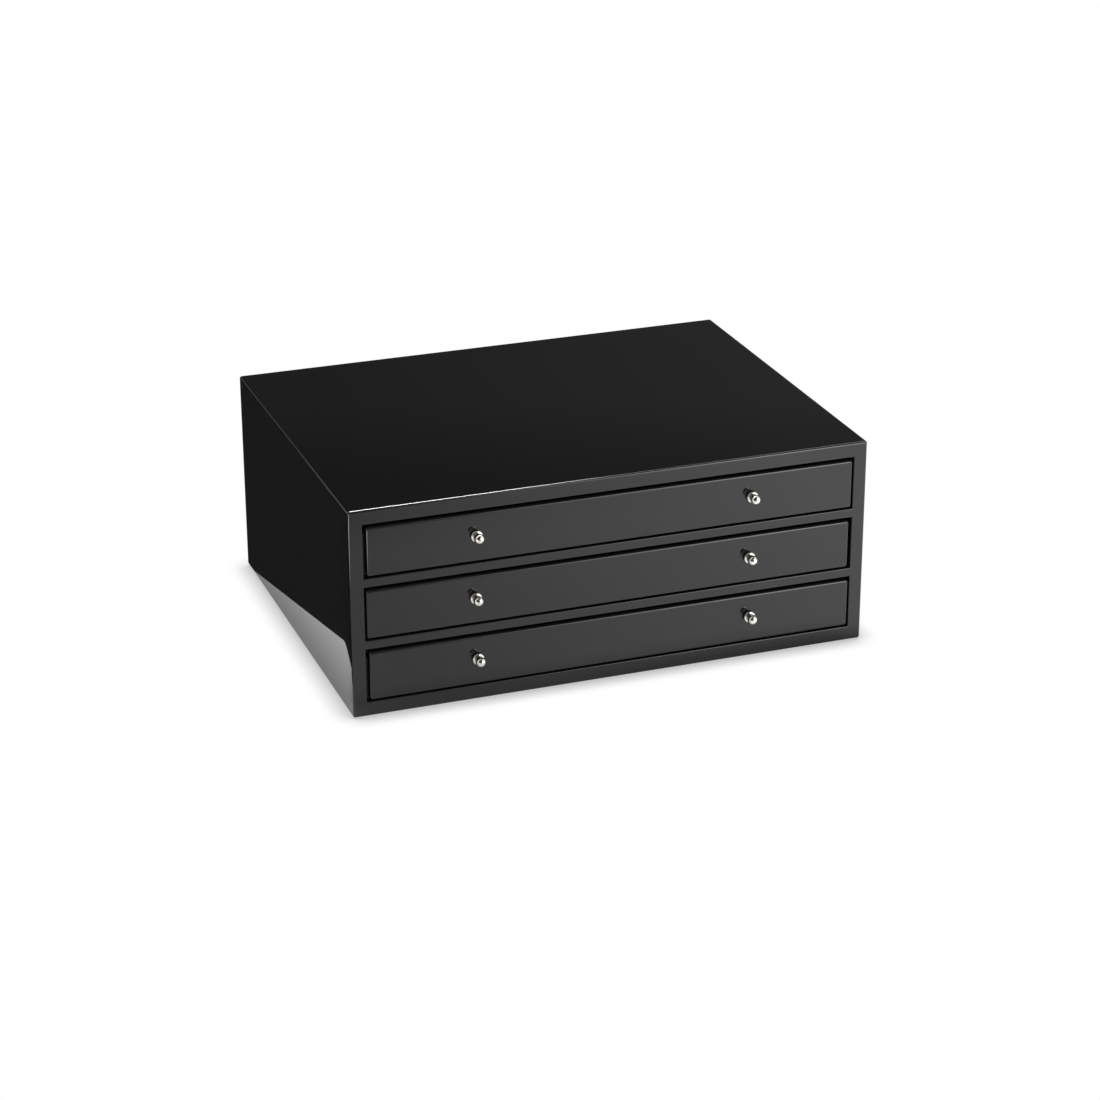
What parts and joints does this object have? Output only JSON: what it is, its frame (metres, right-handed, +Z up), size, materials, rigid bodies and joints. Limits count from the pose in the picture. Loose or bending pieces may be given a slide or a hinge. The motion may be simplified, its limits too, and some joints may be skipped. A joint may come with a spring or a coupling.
{
  "type": "storage box with drawers",
  "caption": "Low rectangular tabletop chest with inset full-width drawers, high-gloss black lacquer and small round metal knobs, for keeping flat things.",
  "frame": {"origin": "middle of the footprint, on the underside felt, which is the surface that the chest stands on", "axes": "+Z up; +X to the right of someone facing the drawers; the drawers pull out towards -Y"},
  "size_m": [0.46, 0.3587, 0.185],
  "materials": {
    "black_lacquer": "high-gloss black lacquer on sanded boards",
    "satin_black_paint": "satin black paint",
    "grey_velvet": "short-pile velvet",
    "black_felt": "wool felt",
    "polished_nickel": "polished nickel",
    "zinc_plated_steel": "zinc plated"
  },
  "bodies": {
    "carcass": {"top_panel": "black_lacquer", "base_panel": "black_lacquer", "left_side_panel": "black_lacquer", "right_side_panel": "black_lacquer", "upper_divider": "black_lacquer", "lower_divider": "black_lacquer", "back_panel": "satin_black_paint", "back_panel_screws": "zinc_plated_steel", "upper_stop_strip": "satin_black_paint", "middle_stop_strip": "satin_black_paint", "lower_stop_strip": "satin_black_paint", "drawer_bumpers": "black_felt", "base_felt": "black_felt"},
    "upper_drawer": {"upper_drawer_front": "black_lacquer", "upper_drawer_left_side": "satin_black_paint", "upper_drawer_right_side": "satin_black_paint", "upper_drawer_back": "satin_black_paint", "upper_drawer_bottom": "satin_black_paint", "upper_drawer_lining": "grey_velvet", "upper_drawer_left_knob": "polished_nickel", "upper_drawer_right_knob": "polished_nickel", "upper_drawer_knob_screws": "zinc_plated_steel"},
    "middle_drawer": {"middle_drawer_front": "black_lacquer", "middle_drawer_left_side": "satin_black_paint", "middle_drawer_right_side": "satin_black_paint", "middle_drawer_back": "satin_black_paint", "middle_drawer_bottom": "satin_black_paint", "middle_drawer_lining": "grey_velvet", "middle_drawer_left_knob": "polished_nickel", "middle_drawer_right_knob": "polished_nickel", "middle_drawer_knob_screws": "zinc_plated_steel"},
    "lower_drawer": {"lower_drawer_front": "black_lacquer", "lower_drawer_left_side": "satin_black_paint", "lower_drawer_right_side": "satin_black_paint", "lower_drawer_back": "satin_black_paint", "lower_drawer_bottom": "satin_black_paint", "lower_drawer_lining": "grey_velvet", "lower_drawer_left_knob": "polished_nickel", "lower_drawer_right_knob": "polished_nickel", "lower_drawer_knob_screws": "zinc_plated_steel"}
  },
  "joints": [
    {"name": "upper_drawer_slide", "type": "slide", "parent": "carcass", "child": "upper_drawer", "axis": [0, -1, 0], "range_m": [0, 0.2]},
    {"name": "middle_drawer_slide", "type": "slide", "parent": "carcass", "child": "middle_drawer", "axis": [0, -1, 0], "range_m": [0, 0.2]},
    {"name": "lower_drawer_slide", "type": "slide", "parent": "carcass", "child": "lower_drawer", "axis": [0, -1, 0], "range_m": [0, 0.2]}
  ]
}
